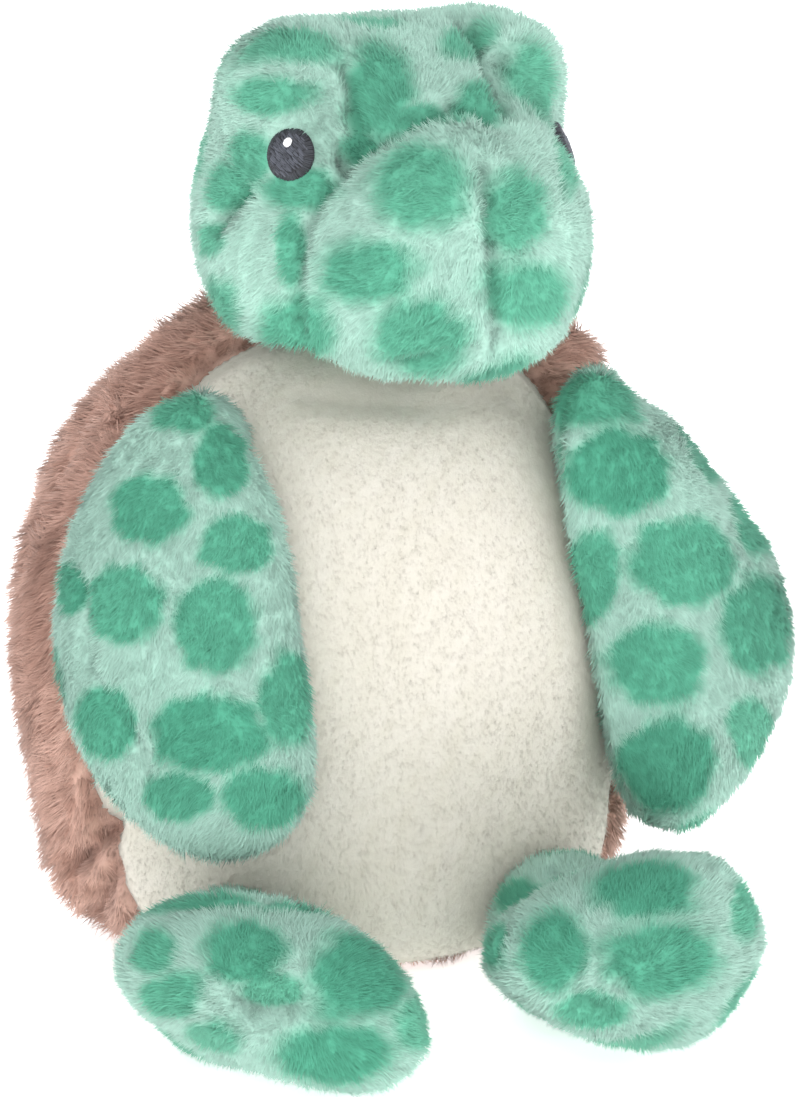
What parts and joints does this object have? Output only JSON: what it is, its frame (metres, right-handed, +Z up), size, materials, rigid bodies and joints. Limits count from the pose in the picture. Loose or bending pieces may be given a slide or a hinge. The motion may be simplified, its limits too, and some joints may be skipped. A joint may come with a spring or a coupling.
{
  "type": "plush turtle",
  "caption": "Seated stuffed turtle with a cream belly, a brown padded shell, a spotted mint head that turns and nods, two flipper arms and two padded feet with sewn soles.",
  "frame": {"origin": "On the floor under the middle of the seat, where the toy rests", "axes": "+Z up, -Y the way the toy's body faces, +X to the toy's own left"},
  "size_m": [0.2019, 0.208, 0.2582],
  "materials": {
    "cream_plush": "matte",
    "brown_plush": "matte",
    "mint_plush": "matte",
    "stuffing": "matte",
    "bean_cloth": "matte",
    "eye_thread": "satin",
    "glint_thread": "satin"
  },
  "bodies": {
    "torso": {"belly_panel": "cream_plush", "shell_rim_panel": "brown_plush", "shell_back_panel": "brown_plush", "body_stuffing": "stuffing", "seat_bean_pouch": "bean_cloth"},
    "neck": {"neck_stuffing": "stuffing"},
    "head": {"right_cheek_panel": "mint_plush", "left_cheek_panel": "mint_plush", "crown_panel": "mint_plush", "right_muzzle_panel": "mint_plush", "left_muzzle_panel": "mint_plush", "chin_panel": "mint_plush", "head_stuffing": "stuffing", "right_eye": "eye_thread", "left_eye": "eye_thread", "right_eye_glint": "glint_thread", "left_eye_glint": "glint_thread"},
    "right_arm": {"right_arm_front_panel": "mint_plush", "right_arm_back_panel": "mint_plush", "right_arm_stuffing": "stuffing"},
    "left_arm": {"left_arm_front_panel": "mint_plush", "left_arm_back_panel": "mint_plush", "left_arm_stuffing": "stuffing"},
    "right_leg": {"right_sole_panel": "mint_plush", "right_leg_panel": "mint_plush", "right_leg_stuffing": "stuffing"},
    "left_leg": {"left_sole_panel": "mint_plush", "left_leg_panel": "mint_plush", "left_leg_stuffing": "stuffing"}
  },
  "joints": [
    {"name": "head_turn", "type": "hinge", "parent": "torso", "child": "neck", "pos_m": [0.004, -0.014, 0.175], "axis": [0, 0, 1], "range_deg": [-56, 22]},
    {"name": "head_nod", "type": "hinge", "parent": "neck", "child": "head", "pos_m": [0.004, -0.014, 0.175], "axis": [-0.9511, -0.309, 0], "range_deg": [0, 12]},
    {"name": "right_arm_raise", "type": "hinge", "parent": "torso", "child": "right_arm", "pos_m": [-0.048, -0.046, 0.166], "axis": [-0.8192, 0.5736, 0], "range_deg": [0, 60]},
    {"name": "left_arm_raise", "type": "hinge", "parent": "torso", "child": "left_arm", "pos_m": [0.054, -0.047, 0.166], "axis": [-0.9397, -0.342, 0], "range_deg": [0, 60]},
    {"name": "right_leg_splay", "type": "hinge", "parent": "torso", "child": "right_leg", "pos_m": [-0.042, -0.054, 0.024], "axis": [0, 0, -1], "range_deg": [0, 14]},
    {"name": "left_leg_splay", "type": "hinge", "parent": "torso", "child": "left_leg", "pos_m": [0.042, -0.054, 0.024], "axis": [0, 0, 1], "range_deg": [0, 14]}
  ]
}
